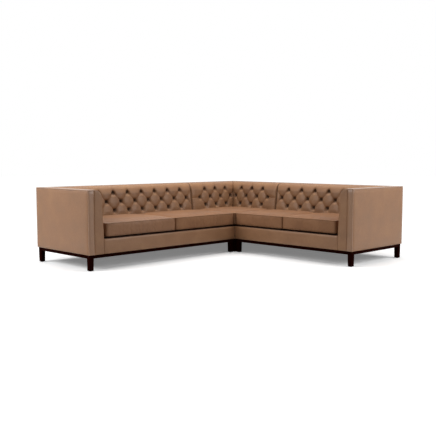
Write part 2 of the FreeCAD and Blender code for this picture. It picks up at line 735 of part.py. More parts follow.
def corner_module():
    side = CORNER_SIDE
    inner = side - COVER
    holes = bolt_holes(side, side)
    pad = corner_inside_back()
    return {
        "plinth_rails": plinth_rails(side, side, both_ways(socket_holes())),
        "legs": legs(side, side),
        "leg_glides": leg_glides(side, side),
        "leg_bolts": leg_bolts(side, side),
        "seat_frame": seat_frame(side, side),
        "back_frame": back_frame(COVER, side, holes)
        + [swapped(timber) for timber in back_frame(WALL, side, holes)],
        "seat_springs": seat_springs(side, side),
        "seat_deck": seat_deck(side, side),
        "outside_backs": [
            panel(0, side, 0, COVER, BODY_BOTTOM, SHELL_TOP),
            panel(0, COVER, COVER, side, BODY_BOTTOM, SHELL_TOP),
        ],
        "border_band": [
            panel(0, side, 0, WALL, SHELL_TOP, HEIGHT),
            panel(0, WALL, WALL, side, SHELL_TOP, HEIGHT),
        ],
        "inside_backs": both_ways([pad]),
        "back_buttons": both_ways(back_buttons(corner_mids(), CORNER_PITCH)),
        "end_panels": [
            panel(inner, side, COVER, side, BODY_BOTTOM, DECK_TOP),
            panel(COVER, inner, inner, side, BODY_BOTTOM, DECK_TOP),
            panel(inner, side, COVER, WALL, DECK_TOP, SHELL_TOP),
            panel(COVER, WALL, inner, side, DECK_TOP, SHELL_TOP),
        ],
        "dust_cover": dust_cover(side, side),
        "connector_sockets": both_ways(sockets()),
    }


# From the bench frames to the row frame
def to_left(shape):
    flipped = shape.mirror(Vector(0, 0, 0), Vector(0, 1, 0))
    return flipped.translated(Vector(-LONG_WING / 2, SHORT_WING / 2, 0))


def to_right(shape):
    turned = shape.rotated(Vector(0, 0, 0), Vector(0, 0, 1), 90)
    return turned.translated(Vector(LONG_WING / 2, -SHORT_WING / 2, 0))


def to_corner(shape):
    turned = shape.rotated(Vector(0, 0, 0), Vector(0, 0, 1), 180)
    return turned.translated(Vector(LONG_WING / 2, SHORT_WING / 2, 0))


def write(node, solids, place):
    placed = [place(part) for solid in solids for part in solid.Solids]
    for part in placed:
        if not part.isValid() or part.Volume <= 0:
            print("check", node)
    Part.makeCompound(placed).exportStep(os.path.join("parts", node + ".step"))


def main():
    os.makedirs("parts", exist_ok=True)
    sides = {
        "left": (arm_module(LONG_MODULE), to_left),
        "right": (arm_module(SHORT_MODULE), to_right),
        "corner": (corner_module(), to_corner),
    }
    for side, (nodes, place) in sides.items():
        for name, solids in nodes.items():
            write(side + "_" + name, solids, place)
    for side, length, place in (("left", LONG_MODULE, to_left), ("right", SHORT_MODULE, to_right)):
        outer, inner = arm_cushions(length)
        write(side + "_seat_cushion_outer", [outer], place)
        write(side + "_seat_cushion_inner", [inner], place)
    write("corner_seat_cushion", [corner_cushion()], to_corner)


main()
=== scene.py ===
# %% [markdown]
# # A tufted leather corner sofa
#
# This lesson dresses a corner sofa that is already built as a set of solid parts. The parts give
# every size and place, and nothing here moves them. Where a part is hard, such as a leg bolt, it
# keeps its shape and only gets a finish. Where it is soft, such as a cushion or the tufted back, a
# softer shape made here stands in its place.
#
# The first cell loads the parts.

import math

import bmesh
import bpy
import numpy as np
from mathutils import Matrix, Vector, noise


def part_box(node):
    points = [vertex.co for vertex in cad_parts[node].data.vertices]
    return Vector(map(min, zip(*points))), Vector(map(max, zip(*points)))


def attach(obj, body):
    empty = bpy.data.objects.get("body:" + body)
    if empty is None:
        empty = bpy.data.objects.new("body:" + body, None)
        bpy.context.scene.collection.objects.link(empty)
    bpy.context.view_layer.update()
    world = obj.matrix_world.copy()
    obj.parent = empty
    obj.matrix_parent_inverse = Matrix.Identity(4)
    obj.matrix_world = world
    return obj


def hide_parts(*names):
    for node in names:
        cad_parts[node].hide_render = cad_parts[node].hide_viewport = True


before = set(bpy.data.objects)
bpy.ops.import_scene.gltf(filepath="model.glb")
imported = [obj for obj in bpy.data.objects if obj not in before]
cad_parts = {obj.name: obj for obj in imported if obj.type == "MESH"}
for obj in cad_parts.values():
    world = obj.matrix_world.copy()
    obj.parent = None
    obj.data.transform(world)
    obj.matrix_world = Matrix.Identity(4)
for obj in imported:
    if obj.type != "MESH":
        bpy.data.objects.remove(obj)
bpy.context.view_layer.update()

# %% [markdown]
# ## Colours and nodes
#
# Colours are written as hex numbers, as a paint chart gives them. Blender's shaders work on linear
# light, so one function turns a hex colour into linear numbers. A second small function adds one
# shader node, sets its values and links its inputs, which keeps each finish short enough to read.
# Every finish starts from object coordinates and ends in one principled shader.

# %% Helpers for finishes


def linear(code):
    """An sRGB hex colour as linear red, green, blue and alpha."""
    parts = [int(code[i:i + 2], 16) / 255 for i in (1, 3, 5)]
    return [c / 12.92 if c <= 0.04045 else ((c + 0.055) / 1.055) ** 2.4 for c in parts] + [1.0]


def add(tree, kind, settings=None, inputs=None, stops=()):
    """One node, with its settings, its inputs as values or sockets, and a ramp's colour stops."""
    node = tree.nodes.new("ShaderNode" + kind)
    for key, value in (settings or {}).items():
        setattr(node, key, value)
    for key, value in (inputs or {}).items():
        if isinstance(value, bpy.types.NodeSocket):
            tree.links.new(value, node.inputs[key])
        else:
            node.inputs[key].default_value = value
    if stops:
        bar = node.color_ramp.elements
        while len(bar) < len(stops):
            bar.new(0.5)
        for element, (place, code) in zip(bar, stops):
            element.position, element.color = place, linear(code)
    return node


def new_finish(name):
    """An empty material, its node tree, and the object coordinates that its patterns lie on."""
    finish = bpy.data.materials.new(name)
    finish.use_nodes = True
    tree = finish.node_tree
    tree.nodes.clear()
    return finish, tree, add(tree, "TexCoord").outputs["Object"]


def ended(finish, tree, inputs):
    """The material, ended with a principled shader that has these inputs."""
    shader = add(tree, "BsdfPrincipled", inputs=inputs)
    add(tree, "OutputMaterial", inputs={"Surface": shader.outputs["BSDF"]})
    return finish


def per(millimetres):
    """The texture scale at which one feature is about this many millimetres wide."""
    return 1000.0 / millimetres


# %% [markdown]
# ## Corrected-grain leather
#
# The cover is cow hide, drum dyed taupe brown and finished with a thin clear film. Three things
# give it away: a slow, cloudy change of colour over a hand's width, a pebbled grain of about 2 mm,
# and a satin film that is a little glossier where hands and backs have polished it, as on the arm
# tops and in the outer seat of the long wing. The pebbles are too fine for a picture of the whole
# sofa, so a second, coarser set of creases of 35 mm is drawn with them. An attribute paints light
# and shade into the dye. Where it is positive it darkens the button wells and the seams as painted
# shade. Where it is negative it lightens the roll of the back and the pillow tips under the buttons
# as painted light.

# %% Leather
CLOUD, SPECK, WRINKLE, PEBBLE = 170, 14, 35, 2.4
SPECK_SHARE = 0.3
# How dark the deepest painted shade makes the dye.
DARKEST_PAINTED_SHADE = 0.2
COAT_ROUGHNESS = 0.28
SHELL_TONES = ("#876346", "#8F684A", "#977050")
TUFTED_TONES = ("#7A583F", "#825F43", "#8A6749")
SEAT_TONES = ("#815C42", "#896246", "#91694C")
# The buttons are a much darker copy of the leather, as painted shade for the bottoms of their
# wells.
SHADED_BUTTON_TONES = ("#33211A", "#3B291D", "#453022")


def leather(name, tones, gloss, specular, coat):
    """Leather in three close colours, with a roughness, and the strength of its film's shine."""
    finish, tree, place = new_finish(name)
    clouds, specks, wrinkles = (
        add(tree, "TexNoise", inputs={
            "Vector": place, "Scale": per(width), "Detail": detail, "Distortion": bend,
        }).outputs["Fac"]
        for width, detail, bend in ((CLOUD, 3.0, 0.0), (SPECK, 4.0, 0.0), (WRINKLE, 5.0, 0.6))
    )
    blend = add(tree, "Mix", inputs={"Factor": SPECK_SHARE, "A": clouds, "B": specks})
    dye = add(tree, "ValToRGB", inputs={"Fac": blend.outputs["Result"]},
              stops=list(zip((0.32, 0.5, 0.68), tones)))
    # This attribute is painted light and shade: above 0 it darkens the dye as painted shade, below
    # 0 it lightens it as painted light.
    painted_light_and_shade = add(tree, "Attribute", {"attribute_name": "painted_light_and_shade"})
    shade = add(tree, "MapRange", {"clamp": False}, {
        "Value": painted_light_and_shade.outputs["Fac"], "To Min": 1.0, "To Max": DARKEST_PAINTED_SHADE,
    })
    scaled = add(tree, "VectorMath", {"operation": "SCALE"}, {
        0: dye.outputs["Color"], "Scale": shade.outputs["Result"],
    })
    rough = add(tree, "MapRange", inputs={
        "Value": clouds, "From Min": 0.3, "From Max": 0.7,
        "To Min": gloss - 0.05, "To Max": gloss + 0.07,
    })
    relief = add(tree, "Bump", inputs={"Strength": 0.35, "Distance": 0.0035, "Height": wrinkles})
    pebbles = add(tree, "TexVoronoi", {"feature": "DISTANCE_TO_EDGE"}, {
        "Vector": place, "Scale": per(PEBBLE),
    })
    grain = add(tree, "Bump", inputs={
        "Strength": 0.25, "Distance": 0.0004, "Height": pebbles.outputs["Distance"],
        "Normal": relief.outputs["Normal"],
    })
    return ended(finish, tree, {
        "Base Color": scaled.outputs["Vector"], "Roughness": rough.outputs["Result"], "IOR": 1.45,
        "Specular IOR Level": specular, "Coat Weight": coat, "Coat Roughness": COAT_ROUGHNESS,
        "Normal": grain.outputs["Normal"],
    })


shell_leather = leather("shell leather, drum dyed", SHELL_TONES, 0.47, 0.32, 0.18)
band_leather = leather("arm top leather, polished by hands", SHELL_TONES, 0.42, 0.48, 0.42)
tufted_leather = leather("tufted leather, drum dyed", TUFTED_TONES, 0.46, 0.28, 0.08)
seat_leather = leather("seat leather, drum dyed", SEAT_TONES, 0.54, 0.14, 0.0)
used_seat_leather = leather("seat leather, polished by use", SEAT_TONES, 0.52, 0.28, 0.07)
shaded_button_leather = leather("button leather, darkened as painted shade", SHADED_BUTTON_TONES, 0.55, 0.12, 0.0)

# %% [markdown]
# ## Stained wood
#
# Legs and plinth are beech, stained espresso and lacquered satin. The stain hides most of the
# figure, and what shows is a fine, long streak along the grain. The streaks are one noise pattern
# that is squeezed across the grain and stretched along it, so there is one finish for each way that
# a board can lie. The hidden frame is planed pine with the same kind of streak.

# %% Wood
STREAK_WIDTH, STREAK_LENGTH = 5, 160
ESPRESSO = ("#120100", "#1B0301", "#270803")
PINE = ("#B98D5C", "#CBA070", "#D8B384")


def wood(name, along, tones, gloss=0.55):
    """Wood in three close colours whose grain runs along one axis: 0 for X, 1 for Y, 2 for Z."""
    finish, tree, place = new_finish(name)
    scale = [per(STREAK_WIDTH)] * 3
    scale[along] = per(STREAK_LENGTH)
    squeezed = add(tree, "Mapping", inputs={"Vector": place, "Scale": scale})
    streaks = add(tree, "TexNoise", inputs={
        "Vector": squeezed.outputs["Vector"], "Scale": 1.0, "Detail": 6.0, "Roughness": 0.6,
    })
    stain = add(tree, "ValToRGB", inputs={"Fac": streaks.outputs["Fac"]},
                stops=list(zip((0.3, 0.5, 0.72), tones)))
    relief = add(tree, "Bump", inputs={
        "Strength": 0.2, "Distance": 0.0003, "Height": streaks.outputs["Fac"],
    })
    rough = add(tree, "MapRange", inputs={
        "Value": streaks.outputs["Fac"], "To Min": gloss, "To Max": gloss + 0.1,
    })
    return ended(finish, tree, {
        "Base Color": stain.outputs["Color"], "Roughness": rough.outputs["Result"], "IOR": 1.45,
        "Specular IOR Level": 0.005, "Normal": relief.outputs["Normal"],
    })


stained = [wood("espresso beech along " + axis, i, ESPRESSO) for i, axis in enumerate("xyz")]
timber = wood("planed pine", 2, PINE)
print("woods", len(stained) + 1)

# %% [markdown]
# ## Small hard parts and cloths
#
# Bolts, plates and springs are steel, the glides are moulded nylon, and the cloths under the frame
# and on the deck are a black spun-bonded sheet and a woven platform cloth. None of them shows much,
# but someone who turns the sofa over sees all of them.

# %% Steel, nylon and cloth


def hard(name, tint, gloss, width, detail, more):
    """Steel or nylon: one colour, and a shine that varies in specks of this many millimetres."""
    finish, tree, place = new_finish(name)
    specks = add(tree, "TexNoise", inputs={"Vector": place, "Scale": per(width), "Detail": detail})
    rough = add(tree, "MapRange", inputs={
        "Value": specks.outputs["Fac"], "To Min": gloss, "To Max": gloss + 0.2,
    })
    return ended(finish, tree, {
        "Base Color": linear(tint), "Roughness": rough.outputs["Result"], **more,
    })


def cloth(name, low, high, thread):
    """A plain weave or felt with threads of this many millimetres."""
    finish, tree, place = new_finish(name)
    fibres = add(tree, "TexNoise", inputs={"Vector": place, "Scale": per(thread), "Detail": 4.0})
    colour = add(tree, "ValToRGB", inputs={"Fac": fibres.outputs["Fac"]},
                 stops=[(0.35, low), (0.65, high)])
    relief = add(tree, "Bump", inputs={
        "Strength": 0.5, "Distance": 0.0005, "Height": fibres.outputs["Fac"],
    })
    return ended(finish, tree, {
        "Base Color": colour.outputs["Color"], "Roughness": 0.9, "Specular IOR Level": 0.1,
        "Sheen Weight": 0.03, "Normal": relief.outputs["Normal"],
    })


# The spangle of zinc is 6 mm wide, and the orange peel of a mould 1.5 mm.
spring_steel = hard("oil-tempered spring wire", "#6B6A68", 0.35, 6, 3.0, {"Metallic": 1.0})
plated_steel = hard("zinc plated steel", "#C9C9C4", 0.25, 6, 3.0, {"Metallic": 1.0})
black_nylon = hard("moulded nylon", "#1A1A1A", 0.4, 1.5, 2.0, {"IOR": 1.53})
deck_cloth = cloth("woven deck cloth", "#5E4332", "#70523F", 1.2)
dust_cloth = cloth("spun-bonded dust cloth", "#0E0E0E", "#1C1C1C", 0.8)

HARD_FINISHES = {
    "plinth_rails": stained[0], "legs": stained[2], "leg_glides": black_nylon,
    "leg_bolts": plated_steel, "seat_frame": timber, "back_frame": timber, "arm_frame": timber,
    "seat_springs": spring_steel, "seat_deck": deck_cloth, "dust_cover": dust_cloth,
    "connector_tongues": plated_steel, "connector_sockets": plated_steel,
}
for node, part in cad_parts.items():
    finish = HARD_FINISHES.get(node.split("_", 1)[1], shell_leather)
    for i in range(max(1, len(part.material_slots))):
        if part.material_slots:
            part.material_slots[i].material = finish
        else:
            part.data.materials.append(finish)
print("hard finishes", len(HARD_FINISHES))

# %% [markdown]
# ## Making and handing over a piece
#
# Every piece below ends the same way: its faces are turned outwards, its mesh gets smooth shading
# with its real corners kept sharp, it gets its finish, it is hung on the body that its part moves
# with, and the part that it stands for is hidden.
#
# The upholsterer's bench has its own axes: u runs along a module, v runs from the outer back face
# to the knees, and both are in millimetres. A matrix for each bench takes a piece to its place.

# %% Benches


def bench(low, high, u_axis, v_axis):
    """The matrix from a module's bench, in millimetres, to the row frame, in metres."""
    turn = Matrix((u_axis, v_axis, (0, 0, 1))).transposed().to_4x4()
    return Matrix.Translation((low[0], high[1], 0)) @ turn @ Matrix.Scale(0.001, 4)


def length_of(node, axis):
    """Length of a node along one axis of the row frame, in millimetres."""
    low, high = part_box(node)
    return (high[axis] - low[axis]) * 1000


left_low, left_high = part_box("left_outside_arm")
right_low, right_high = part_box("right_outside_arm")
corner_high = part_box("corner_outside_backs")[1]
CORNER_BENCH = bench(corner_high, corner_high, (-1, 0, 0), (0, -1, 0))
CORNER_BENCH_TURNED = bench(corner_high, corner_high, (0, -1, 0), (-1, 0, 0))
CORNER_LENGTH = length_of("corner_border_band", 0)
ARM_MODULES = (
    ("left", bench(left_low, left_high, (1, 0, 0), (0, -1, 0)),
     length_of("left_border_band", 0)),
    ("right", bench(right_high, right_low, (0, 1, 0), (-1, 0, 0)),
     length_of("right_border_band", 1)),
)
print("module lengths", [round(length) for _, _, length in ARM_MODULES], round(CORNER_LENGTH))

# %% Hand over


def placed(name, data):
    """A new object with this data, in the scene."""
    piece = bpy.data.objects.new(name, data)
    bpy.context.collection.objects.link(piece)
    return piece


def body_of(node):
    """A cushion is a body of its own, and every other part moves with its module."""
    return node if "seat_cushion" in node else node.split("_")[0] + "_module"


def hand_over(name, bm, finish, node, corner=50.0):
    """Makes the piece from its bmesh, hangs it on its part's body, hides that part and prints its
    faces.
    """
    bmesh.ops.recalc_face_normals(bm, faces=bm.faces)
    mesh = bpy.data.meshes.new(name)
    bm.to_mesh(mesh)
    bm.free()
    mesh.shade_smooth()
    mesh.set_sharp_from_angle(angle=math.radians(corner))
    mesh.materials.append(finish)
    piece = placed(name, mesh)
    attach(piece, body_of(node))
    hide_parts(node)
    print(name, len(mesh.polygons), "faces")
    return piece


def skin(columns, rows, place):
    """An open grid of quads, laid out by place(a, b) with a across and b up, both from 0 to 1."""
    bm = bmesh.new()
    bmesh.ops.create_grid(bm, x_segments=columns, y_segments=rows, size=0.5)
    flat = np.array([v.co[:2] for v in bm.verts]) + 0.5
    for v, point in zip(bm.verts, place(flat[:, 0], flat[:, 1])):
        v.co = point
    return bm


def close_behind(bm, axis, wall, matrix):
    """Closes an open skin with a flat wall across this axis, and takes it to its bench."""
    rim = [edge for edge in bm.edges if edge.is_boundary]
    made = bmesh.ops.extrude_edge_only(bm, edges=rim)["geom"]
    for v in (item for item in made if isinstance(item, bmesh.types.BMVert)):
        v.co[axis] = wall
    bmesh.ops.holes_fill(bm, edges=[edge for edge in bm.edges if edge.is_boundary])
    bmesh.ops.transform(bm, matrix=matrix, verts=bm.verts)


# %% [markdown]
# ## The diamond-tufted back
#
# On the real sofa a thick slab of foam is covered with a loose leather skin. Buttons pull the skin
# down to the slab in staggered rows, and the spare leather is folded into pleats that run from
# button to button, so that each diamond stands up as a firm pillow. From the top row the pleats go
# straight up and over the rolled edge, and from the bottom row they go down behind the seat.
#
# Cloth simulation can make this, but its pleats wander, and these run straight. So the skin is a
# fine grid and each of its points is raised by how far it lies from the nearest pleat, along a
# curve that starts steep and ends flat. Close to a button the skin sinks into a well.
#
# w runs up the leaning face from the deck and on over the rolled top.

# %% Sizes of the module and of the tufting, in millimetres
WALL, DEPTH, HEIGHT, DECK = 60.0, 900.0, 740.0, 284.0
LEAN = math.radians(7.7)
PAD_FOOT, PAD_TOP, PAD_ROLL, PAD_GAP = 223.5, 730.0, 50.0, 2.0
LOW_ROW, ROW_PITCH = 197.8, 93.0
MID_ROW = LOW_ROW + ROW_PITCH
TOP_ROW = MID_ROW + ROW_PITCH
ARM_PITCH, ARM_SEAM_MARGIN = 186.5, 79.0
CORNER_PITCH, CORNER_FIRST = 172.0, 247.0
END_MARGIN = 30.0
CUSHION_REAR = 229.0
GRID = 4.0

ROLL_HEIGHT = PAD_TOP - PAD_ROLL
ROLL_START = (ROLL_HEIGHT + PAD_ROLL * math.sin(LEAN) - DECK) / math.cos(LEAN)
ROLL_END = ROLL_START + (math.pi / 2 - LEAN) * PAD_ROLL
ROLL_CENTRE = PAD_FOOT - ROLL_START * math.sin(LEAN) - PAD_ROLL * math.cos(LEAN)
PAD_END = ROLL_END + ROLL_CENTRE - WALL - PAD_GAP
ARM_FOOT, ARM_SHOULDER, ARM_ROLL, ARM_SWELL = 166.0, 150.0, 80.0, 22.0


def pad_point(w, n):
    """The (v, z) of points at w along the pad's face and n out from it."""
    angle = np.clip(LEAN + (w - ROLL_START) / PAD_ROLL, LEAN, math.pi / 2)
    flat = np.maximum(0.0, w - ROLL_END)
    rise = np.minimum(w, ROLL_START) - ROLL_START
    v = ROLL_CENTRE + (PAD_ROLL + n) * np.cos(angle) - flat - rise * math.sin(LEAN)
    return v, ROLL_HEIGHT + (PAD_ROLL + n) * np.sin(angle) + rise * math.cos(LEAN)


def arm_surface(z, swell):
    """How far the inner arm stands from the arm's outer face at a height."""
    over = np.clip(z - (HEIGHT - ARM_ROLL), 0.0, ARM_ROLL)
    share = np.clip((z - DECK) / (HEIGHT - ARM_ROLL - DECK), 0.0, 1.0)
    side = ARM_FOOT + share * (ARM_SHOULDER - ARM_FOOT)
    return swell + side - ARM_ROLL + np.sqrt(ARM_ROLL**2 - over**2)


def arm_mids(length):
    """The middle row's buttons of an arm module, from its arm to its seam."""
    room = length - ARM_SEAM_MARGIN - (ARM_FOOT + ARM_SWELL + END_MARGIN)
    count = int(room // ARM_PITCH) + 1
    return [length - ARM_SEAM_MARGIN - i * ARM_PITCH for i in reversed(range(count))]


def corner_mids(length):
    """The middle row's buttons of one side of the corner module, from the mitre to the seam."""
    count = int((length - CORNER_FIRST - END_MARGIN) // CORNER_PITCH) + 1
    return [CORNER_FIRST + i * CORNER_PITCH for i in range(count)]


# %% [markdown]
# The pleats are short straight lines on the face, from (u, w) to (u, w). The distance to all of
# them is taken with a soft minimum, so that the crest of each pillow is round and not a ridge.

# %% Pleats
EDGE_STEPS = 15
SOFTNESS = 7


def pleats(mids, pitch, low_edge, length, level_end):
    """All pleats of one pad, from its low edge to its seam at length, as rows of u0, w0, u1, w1."""
    lines = []
    for u in (mid + pitch / 2 for mid in mids[:-1]):
        for row, end in ((TOP_ROW, PAD_END), (LOW_ROW, 0.0)):
            lines.append((u, row, u, end))
            lines += [(u, row, u + side * pitch / 2, MID_ROW) for side in (-1, 1)]
    for mid, edge, level in ((mids[0], low_edge, False), (mids[-1], lambda w: length, level_end)):
        rows = [MID_ROW] if level else [LOW_ROW, TOP_ROW]
        lines += [(mid, MID_ROW, float(edge(row)), row) for row in rows]
        steps = np.linspace(0.0, PAD_END, EDGE_STEPS)
        lines += [(float(edge(a)), a, float(edge(b)), b) for a, b in zip(steps, steps[1:])]
    return np.array(lines)


def nearness(u, w, lines):
    """A soft minimum of the distances from points to pleats, and how far below one each lies."""
    total = np.zeros(len(u))
    closest = np.full(len(u), 1e3)
    below = np.zeros(len(u))
    for u0, w0, u1, w1 in lines:
        du, dw = u1 - u0, w1 - w0
        share = np.clip(((u - u0) * du + (w - w0) * dw) / (du * du + dw * dw), 0.0, 1.0)
        distance = np.hypot(u - u0 - share * du, w - w0 - share * dw)
        total += np.maximum(distance, 0.05) ** -SOFTNESS
        drop = (w0 + share * dw - w) / np.maximum(distance, 1.0)
        below = np.where(distance < closest, drop, below)
        closest = np.minimum(distance, closest)
    return total ** (-1 / SOFTNESS), np.maximum(below, 0.0)


# %% [markdown]
# Between the rows the pillows stand highest, and towards the seat and over the roll they fade into
# plain stuffed leather. Each pleat is a thin crease with a lip of folded leather on its lower side,
# and small puckers stand round each button. The finish gets painted light and shade with the form:
# painted shadow in and above the wells, painted light on the roll, and a painted highlight on the
# tip of the pillow under each button.

# %% Form of the skin and its painted light and shade, lengths in millimetres
PUFF, FOOT_PUFF, ROLL_PUFF, END_PUFF = 30.0, 8.0, 9.0, 3.0
PLEAT_REACH, FOLD_RISE, FOLD_NEAR, FOLD_FAR = 64.0, 0.72, 8.0, 55.0
FOOT_RISE, LOW_RISE, ROLL_RISE, END_RISE = 0.92, 0.88, 0.93, 0.97
WELL, WELL_WIDTH, WELL_REACH = 9.0, 15.0, 29.0
CREASE, LIP, LIP_PLACE, CREASE_WIDTH = 1.3, 2.0, 7.0, 4.5
PUCKER, PUCKER_COUNT, PUCKER_DRIFT = 0.9, 11, 0.05
PUCKER_PLACE, PUCKER_WIDTH = 27.0, 11.0
# Painted shadow in and just above each button's well.
HOLE_SHADOW, HOLE_RISE, HOLE_WIDTH = 1.2, 6.0, 21.0
# Painted light on the roll of the back, which faces the overhead lamp.
ROLL_LIGHT, ROLL_LIGHT_START, ROLL_LIGHT_FULL, ROLL_LIGHT_CLEAR = 0.7, -5.0, 45.0, 30.0
# Painted highlight on the tip of the pillow under each button, which faces up to the lamp.
TIP_HIGHLIGHT, TIP_DROP, TIP_WIDE, TIP_TALL = 0.9, 26.0, 22.0, 9.0


def bell(distance, width):
    """1 at no distance, falling to nothing over about twice the width."""
    return np.exp(-(distance / width) ** 2)


def relief(u, w, lines, buttons):
    """How far the skin stands off the slab, and its painted tone: -1 painted light, 1 painted
    shade.
    """
    near, below = nearness(u, w, lines)
    well, hole = np.full(len(u), 1e3), np.full(len(u), 1e3)
    tip, angle = np.zeros(len(u)), np.zeros(len(u))
    for bu, bw in buttons:
        distance = np.hypot(u - bu, w - bw)
        hole = np.minimum(hole, np.hypot(u - bu, w - bw - HOLE_RISE))
        # Painted highlight on the tip of the pillow just under the button.
        tip = np.maximum(tip, bell(u - bu, TIP_WIDE) * bell(w - bw + TIP_DROP, TIP_TALL))
        angle = np.where(distance < well, np.arctan2(w - bw, u - bu), angle)
        well = np.minimum(well, distance)
    dome = 1 - (1 - np.clip(near / PLEAT_REACH, 0.0, 1.0)) ** 2
    rise = np.interp(w, *zip(
        (0.0, FOOT_RISE), (LOW_ROW - FOLD_FAR, LOW_RISE), (LOW_ROW - FOLD_NEAR, FOLD_RISE),
        (TOP_ROW + FOLD_NEAR, FOLD_RISE), (TOP_ROW + FOLD_FAR, ROLL_RISE), (PAD_END, END_RISE),
    ))
    full = np.interp(w, *zip(
        (0.0, FOOT_PUFF), (LOW_ROW, PUFF), (TOP_ROW, PUFF), (ROLL_END, ROLL_PUFF),
        (PAD_END, END_PUFF),
    ))
    base = rise * (1 - bell(well, WELL_REACH))
    n = full * (base + (1 - base) * dome)
    folded = (1 - rise) / (1 - FOLD_RISE)
    n -= CREASE * folded * bell(near, CREASE_WIDTH)
    n += LIP * folded * below * bell(near - LIP_PLACE, CREASE_WIDTH)
    puckers = np.cos(PUCKER_COUNT * angle + PUCKER_DRIFT * u)
    n += PUCKER * puckers * bell(well - PUCKER_PLACE, PUCKER_WIDTH)
    n -= WELL * bell(well, WELL_WIDTH)
    behind = (CUSHION_REAR - 1.0 - pad_point(w, 0.0)[0]) / math.cos(LEAN)
    n = np.where(w < LOW_ROW + 10, np.minimum(n, behind), n)
    # Painted shadow round each button, centred a little above it, where the pillow above shades the
    # well.
    dark = HOLE_SHADOW * bell(hole, HOLE_WIDTH)
    # Painted light on the roll of the back, kept clear of the wells, and a painted highlight on
    # each pillow tip.
    roll_light = np.interp(w, [TOP_ROW + ROLL_LIGHT_START, TOP_ROW + ROLL_LIGHT_FULL, PAD_END], [0.0, ROLL_LIGHT, ROLL_LIGHT])
    painted_light = np.maximum(roll_light * (1 - bell(well, ROLL_LIGHT_CLEAR)), TIP_HIGHLIGHT * tip)
    return n, dark - painted_light * np.maximum(0.0, 1 - dark)


def set_painted_light_and_shade(piece, values):
    """Stores the painted light and shade on the piece's points, for its finish to read."""
    layer = piece.data.attributes.new("painted_light_and_shade", "FLOAT", "POINT")
    spare = np.zeros(len(piece.data.vertices))
    spare[:len(values)] = values
    layer.data.foreach_set("value", spare)


# %% [markdown]
# One function makes a whole back: it lays the grid over the leaning face, sinks it along both
# ends and darkens them with painted shade, and closes it behind. On the corner module the low end
# is a mitre, where the skin is kept thin so that it doesn't cut its twin, and the seam end has one
# level pleat.

# %% A tufted back
SEAM_SINK, SEAM_WIDTH = 0.6, 9.0
# Painted shade along both ends of a back, where it meets the arm or its twin.
SEAM_SHADE, SEAM_SHADE_WIDTH = 0.8, 6.0
MITRE_SLOPE = 0.85
SAG = 0.45


def tufted_back(name, matrix, length, mids, pitch, low_edge, node, mitred=False):
    """Makes one back and hands it over. Returns the places (u, w) of its buttons."""
    lines = pleats(mids, pitch, low_edge, length, mitred)
    buttons = [(u, MID_ROW) for u in mids]
    buttons += [(u + pitch / 2, row) for u in mids[:-1] for row in (LOW_ROW, TOP_ROW)]
    painted_light_and_shade = []

    def place(a, b):
        w = b * PAD_END
        low = low_edge(w)
        u = low + a * (length - low)
        n, painted_tone = relief(u, w, lines, buttons)
        rim = np.minimum(u - low, length - u)
        n = n * (1 - SEAM_SINK * bell(rim, SEAM_WIDTH))
        # Both ends of the back get painted shade.
        painted_light_and_shade.extend(painted_tone + (SEAM_SHADE - painted_tone) * bell(rim, SEAM_SHADE_WIDTH))
        if mitred:
            n = np.minimum(n, MITRE_SLOPE * (u - low))
        v, z = pad_point(w - SAG * np.maximum(n, 0.0), n)
        return np.stack([u, v, z], axis=1)

    bm = skin(int((length - WALL) / GRID), int(PAD_END / GRID), place)
    close_behind(bm, 1, WALL + 1.0, matrix)
    piece = hand_over(name, bm, tufted_leather, node, corner=75)
    set_painted_light_and_shade(piece, painted_light_and_shade)
    return buttons


# %% [markdown]
# A covered button is a small dome of leather over a tin shell. It sits at the bottom of its well,
# square to the leaning face, and its shank goes through the foam to the frame behind. Its leather
# is a much darker copy of the back's, painted with the shade that fills the well.

# %% Buttons
BUTTON_RADIUS, BUTTON_DOME, BUTTON_SINK = 11.0, 7.5, 2.0


def tuft_buttons(name, benches, places, node):
    """Domes for all the buttons of one node, on one or two benches."""
    bm = bmesh.new()
    tilt = Matrix.Rotation(-(math.pi / 2 - LEAN), 4, "X")
    shape = Matrix.Diagonal((BUTTON_RADIUS, BUTTON_RADIUS, BUTTON_DOME, 1.0))
    for matrix in benches:
        for u, w in places:
            v, z = pad_point(np.array(w), np.array(-BUTTON_SINK))
            seat = matrix @ Matrix.Translation((u, float(v), float(z))) @ tilt
            bmesh.ops.create_uvsphere(bm, u_segments=20, v_segments=10, radius=1.0,
                                      matrix=seat @ shape)
    hand_over(name, bm, shaded_button_leather, node)


# %% [markdown]
# The two arm modules have one back each, which starts at the inner arm. The corner module has two,
# which meet in a mitre.

# %% Make the four backs


def arm_edge(w):
    """Where a back meets its inner arm."""
    return arm_surface(pad_point(w, 0.0)[1], ARM_SWELL) + 1.0


def mitre_edge(w):
    """Where the corner module's two backs meet."""
    return pad_point(w, 0.0)[0] + 0.5


for side, matrix, length in ARM_MODULES:
    places = tufted_back(side + "_tufted_back", matrix, length, arm_mids(length), ARM_PITCH,
                         arm_edge, side + "_inside_back")
    tuft_buttons(side + "_tuft_buttons", [matrix], places, side + "_back_buttons")
mids = corner_mids(CORNER_LENGTH)
for side, matrix in (("long", CORNER_BENCH), ("short", CORNER_BENCH_TURNED)):
    places = tufted_back("corner_tufted_back_" + side, matrix, CORNER_LENGTH, mids, CORNER_PITCH,
                         mitre_edge, "corner_inside_backs", mitred=True)
tuft_buttons("corner_tuft_buttons", [CORNER_BENCH, CORNER_BENCH_TURNED], places,
             "corner_back_buttons")

